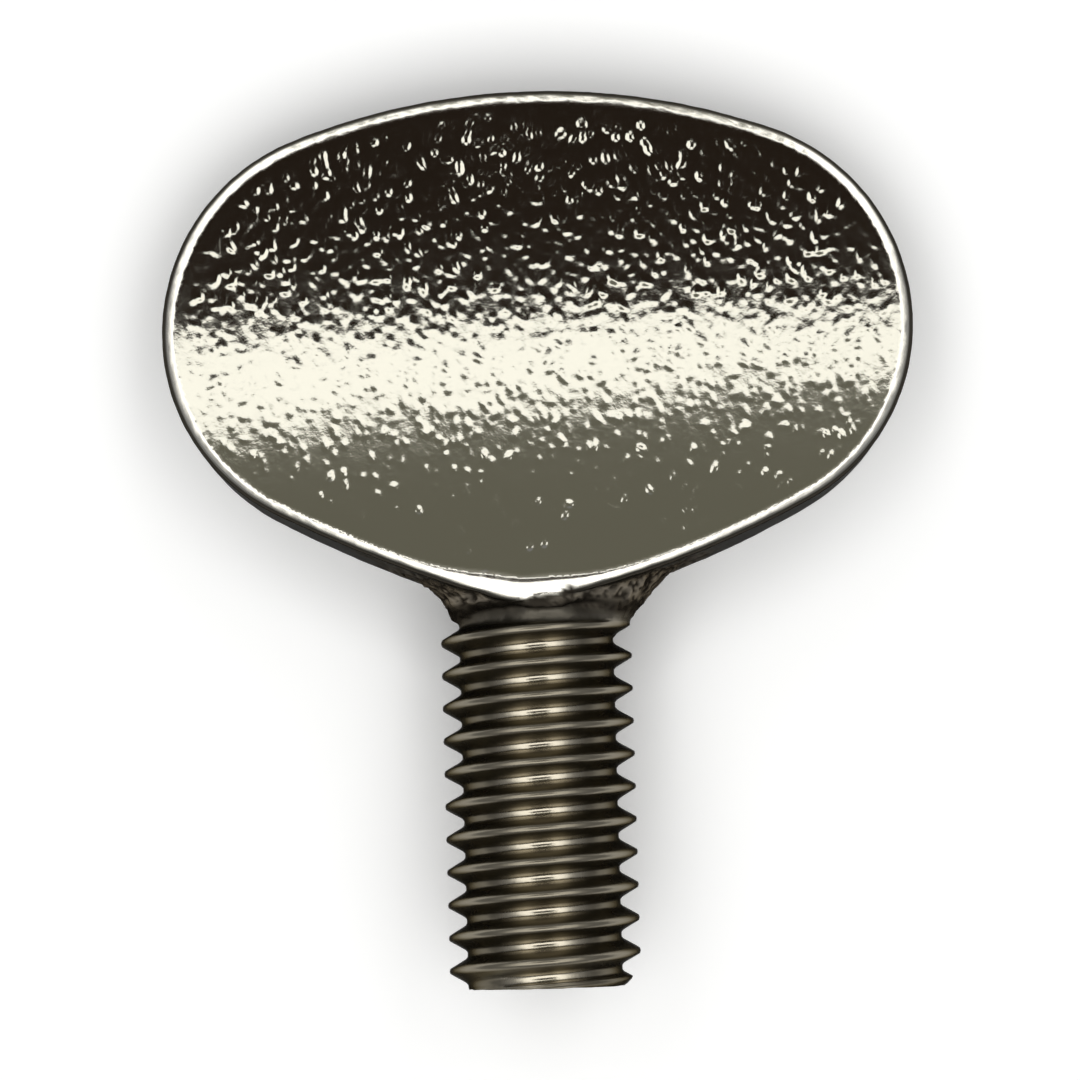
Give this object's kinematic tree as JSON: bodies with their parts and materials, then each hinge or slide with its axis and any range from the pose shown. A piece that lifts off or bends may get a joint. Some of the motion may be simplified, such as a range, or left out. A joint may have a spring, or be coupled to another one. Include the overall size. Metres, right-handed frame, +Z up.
{
  "type": "endpin screw",
  "caption": "Nickel-plated thumb screw with a scooped oval head and a short right-hand metric thread, for clamping an instrument's endpin rod.",
  "frame": {"origin": "on the bench, under the middle of the screw's box as it lies on its back", "axes": "+Y along the screw from the thread end to the top of the head, +Z up out of the front scoop, +X across the head"},
  "size_m": [0.023, 0.0276, 0.0072],
  "materials": {
    "nickel_plate": "bright nickel plate over a coarse casting: orange-peel bumps on the scooped faces, smooth bright rim, duller thread"
  },
  "bodies": {
    "root": {"endpin_screw": "nickel_plate"}
  },
  "joints": []
}
